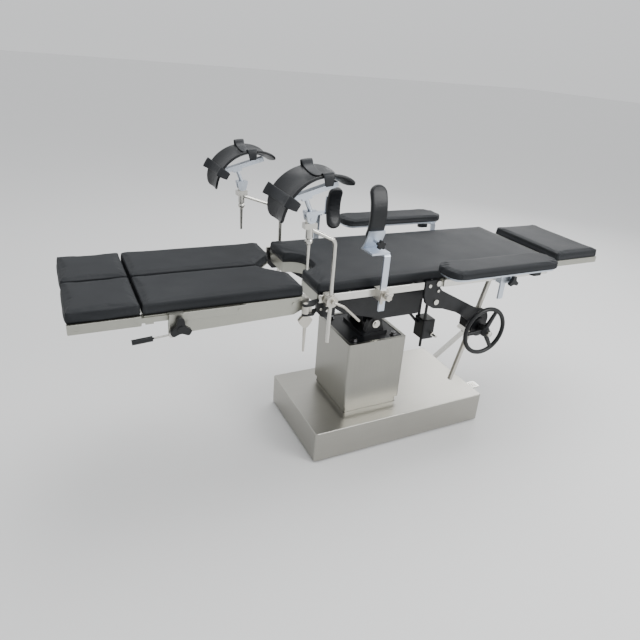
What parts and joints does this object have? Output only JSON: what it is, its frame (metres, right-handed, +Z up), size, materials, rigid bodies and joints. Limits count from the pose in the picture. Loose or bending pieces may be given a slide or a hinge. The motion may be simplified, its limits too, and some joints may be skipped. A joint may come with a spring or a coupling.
{
  "type": "operating table",
  "caption": "Hydraulic operating table with a divided top: head, back, seat and split leg sections, knee crutches, rib supports and arm boards.",
  "frame": {"origin": "on the floor under the middle of the base", "axes": "+X towards the head end, +Z up, operator's side at -Y"},
  "size_m": [2.218, 0.816, 1.1977],
  "materials": {
    "leatherette": "matte, fine grain",
    "black_leather": "satin",
    "stainless": "brushed",
    "plated_steel": "satin",
    "aluminium": "satin",
    "black_plastic": "semi-gloss",
    "black_paint": "semi-gloss"
  },
  "bodies": {
    "base": {"base_cover": "stainless", "base_frame": "black_paint", "levelling_feet": "black_paint", "inner_column_cover": "stainless", "hydraulic_cylinder": "black_paint"},
    "pump_pedal": {"pump_pedal": "black_paint"},
    "release_pedal": {"release_pedal": "black_paint"},
    "lift": {"outer_column_cover": "stainless", "column_head": "black_paint", "column_bolts": "plated_steel", "lift_ram": "plated_steel"},
    "cross": {"cross_block": "black_paint", "pitch_pin": "plated_steel"},
    "seat": {"seat_frame": "black_paint", "seat_end_apron": "stainless", "seat_rails": "stainless", "seat_pad": "leatherette", "hinge_castings": "black_paint", "frame_bolts": "plated_steel", "tilt_gearbox": "black_paint", "accessory_clamps": "aluminium"},
    "tilt_crank": {"tilt_crank": "black_paint"},
    "back": {"back_frame": "black_paint", "back_rails": "stainless", "back_pad": "leatherette", "mattress_fold": "leatherette", "arm_board_posts": "aluminium"},
    "lead_screw": {"lead_screw": "plated_steel"},
    "back_gearbox": {"back_gearbox": "black_paint"},
    "handwheel": {"handwheel": "black_plastic"},
    "head": {"head_frame": "black_paint", "head_pad": "leatherette"},
    "leg_swing_near": {"leg_swing_near": "black_paint"},
    "leg_near": {"leg_frame_near": "stainless", "leg_pad_near": "leatherette"},
    "foot_near": {"foot_frame_near": "stainless", "foot_pad_near": "leatherette"},
    "leg_lever_near": {"leg_lever_near": "black_plastic"},
    "foot_knob_near": {"foot_knob_near": "black_plastic"},
    "crutch_post_near": {"crutch_rod_near": "plated_steel"},
    "crutch_saddle_near": {"crutch_frame_near": "plated_steel", "crutch_pad_near": "black_leather"},
    "support_near": {"support_post_near": "aluminium", "support_pad_near": "black_leather"},
    "arm_board_near": {"arm_board_near": "plated_steel", "arm_pad_near": "leatherette"},
    "leg_swing_far": {"leg_swing_far": "black_paint"},
    "leg_far": {"leg_frame_far": "stainless", "leg_pad_far": "leatherette"},
    "foot_far": {"foot_frame_far": "stainless", "foot_pad_far": "leatherette"},
    "leg_lever_far": {"leg_lever_far": "black_plastic"},
    "foot_knob_far": {"foot_knob_far": "black_plastic"},
    "crutch_post_far": {"crutch_rod_far": "plated_steel"},
    "crutch_saddle_far": {"crutch_frame_far": "plated_steel", "crutch_pad_far": "black_leather"},
    "support_far": {"support_post_far": "aluminium", "support_pad_far": "black_leather"},
    "arm_board_far": {"arm_board_far": "plated_steel", "arm_pad_far": "leatherette"}
  },
  "joints": [
    {"name": "pump_stroke", "type": "hinge", "parent": "base", "child": "pump_pedal", "pos_m": [0.33, 0.145, 0.055], "axis": [0, 1, 0], "range_deg": [0, 24], "stiffness_Nm_per_rad": 30, "springref_deg": -31.51},
    {"name": "release_press", "type": "hinge", "parent": "base", "child": "release_pedal", "pos_m": [0.372, -0.135, 0.118], "axis": [0, 1, 0], "range_deg": [0, 8], "stiffness_Nm_per_rad": 6, "springref_deg": -17.19},
    {"name": "lift", "type": "slide", "parent": "base", "child": "lift", "axis": [0, 0, 1], "range_m": [-0.02, 0.24]},
    {"name": "trendelenburg", "type": "hinge", "parent": "lift", "child": "cross", "pos_m": [-0.104, 0, 0.506], "axis": [0, 1, 0], "range_deg": [-25, 20]},
    {"name": "side_tilt", "type": "hinge", "parent": "cross", "child": "seat", "pos_m": [-0.104, 0, 0.552], "axis": [1, 0, 0], "range_deg": [-20, 20]},
    {"name": "tilt_drive", "type": "hinge", "parent": "seat", "child": "tilt_crank", "pos_m": [0.136, -0.15, 0.456], "axis": [0, 1, 0], "continuous": true},
    {"name": "back_raise", "type": "hinge", "parent": "seat", "child": "back", "pos_m": [0.05, 0, 0.734], "axis": [0, -1, 0], "range_deg": [-10, 60], "deforming": ["mattress_fold"]},
    {"name": "screw_swing", "type": "hinge", "parent": "back", "child": "lead_screw", "pos_m": [0.343, -0.214, 0.722], "axis": [0, -1, 0], "range_deg": [-40, 10]},
    {"name": "drive_swing", "type": "hinge", "parent": "seat", "child": "back_gearbox", "pos_m": [0.291, -0.237, 0.513], "axis": [0, -1, 0], "range_deg": [-6, 26]},
    {"name": "wheel_turn", "type": "hinge", "parent": "back_gearbox", "child": "handwheel", "pos_m": [0.291, -0.292, 0.513], "axis": [0, -1, 0], "continuous": true},
    {"name": "head_tilt", "type": "hinge", "parent": "back", "child": "head", "pos_m": [0.686, 0, 0.728], "axis": [0, -1, 0], "range_deg": [-90, 45]},
    {"name": "leg_spread_near", "type": "hinge", "parent": "seat", "child": "leg_swing_near", "pos_m": [-0.509, -0.262, 0.706], "axis": [0, 0, 1], "range_deg": [0, 90]},
    {"name": "leg_fold_near", "type": "hinge", "parent": "leg_swing_near", "child": "leg_near", "pos_m": [-0.543, -0.222, 0.721], "axis": [0, -1, 0], "range_deg": [0, 90]},
    {"name": "foot_extend_near", "type": "slide", "parent": "leg_near", "child": "foot_near", "axis": [-1, 0, 0], "range_m": [0, 0.1]},
    {"name": "leg_release_near", "type": "hinge", "parent": "leg_near", "child": "leg_lever_near", "pos_m": [-0.948, -0.252, 0.677], "axis": [0, 1, 0], "range_deg": [0, 12], "stiffness_Nm_per_rad": 0.5, "springref_deg": -17.19},
    {"name": "foot_lock_near", "type": "hinge", "parent": "leg_near", "child": "foot_knob_near", "pos_m": [-0.925, -0.272, 0.706], "axis": [0, 1, 0], "continuous": true},
    {"name": "crutch_height_near", "type": "slide", "parent": "seat", "child": "crutch_post_near", "axis": [0, 0, 1], "range_m": [-0.06, 0.15]},
    {"name": "crutch_tilt_near", "type": "hinge", "parent": "crutch_post_near", "child": "crutch_saddle_near", "pos_m": [-0.522, -0.281, 1.028], "axis": [0, 1, 0], "range_deg": [-20, 20]},
    {"name": "support_height_near", "type": "slide", "parent": "seat", "child": "support_near", "axis": [0, 0, 1], "range_m": [-0.03, 0.15]},
    {"name": "arm_board_swing_near", "type": "hinge", "parent": "back", "child": "arm_board_near", "pos_m": [0.452, -0.338, 0.798], "axis": [0, 0, 1], "range_deg": [0, 90]},
    {"name": "leg_spread_far", "type": "hinge", "parent": "seat", "child": "leg_swing_far", "pos_m": [-0.509, 0.262, 0.706], "axis": [0, 0, -1], "range_deg": [0, 90]},
    {"name": "leg_fold_far", "type": "hinge", "parent": "leg_swing_far", "child": "leg_far", "pos_m": [-0.543, 0.222, 0.721], "axis": [0, -1, 0], "range_deg": [0, 90]},
    {"name": "foot_extend_far", "type": "slide", "parent": "leg_far", "child": "foot_far", "axis": [-1, 0, 0], "range_m": [0, 0.1]},
    {"name": "leg_release_far", "type": "hinge", "parent": "leg_far", "child": "leg_lever_far", "pos_m": [-0.948, 0.252, 0.677], "axis": [0, 1, 0], "range_deg": [0, 12], "stiffness_Nm_per_rad": 0.5, "springref_deg": -17.19},
    {"name": "foot_lock_far", "type": "hinge", "parent": "leg_far", "child": "foot_knob_far", "pos_m": [-0.925, 0.272, 0.706], "axis": [0, 1, 0], "continuous": true},
    {"name": "crutch_height_far", "type": "slide", "parent": "seat", "child": "crutch_post_far", "axis": [0, 0, 1], "range_m": [-0.06, 0.15]},
    {"name": "crutch_tilt_far", "type": "hinge", "parent": "crutch_post_far", "child": "crutch_saddle_far", "pos_m": [-0.56, 0.281, 0.996], "axis": [0, 1, 0], "range_deg": [-20, 20]},
    {"name": "support_height_far", "type": "slide", "parent": "seat", "child": "support_far", "axis": [0, 0, 1], "range_m": [-0.03, 0.15]},
    {"name": "arm_board_swing_far", "type": "hinge", "parent": "back", "child": "arm_board_far", "pos_m": [0.375, 0.338, 0.798], "axis": [0, 0, -1], "range_deg": [0, 90]}
  ],
  "couplings": [
    {"joint": "screw_swing", "follows": "back_raise", "ratio": -0.6},
    {"joint": "drive_swing", "follows": "back_raise", "ratio": 0.398}
  ]
}
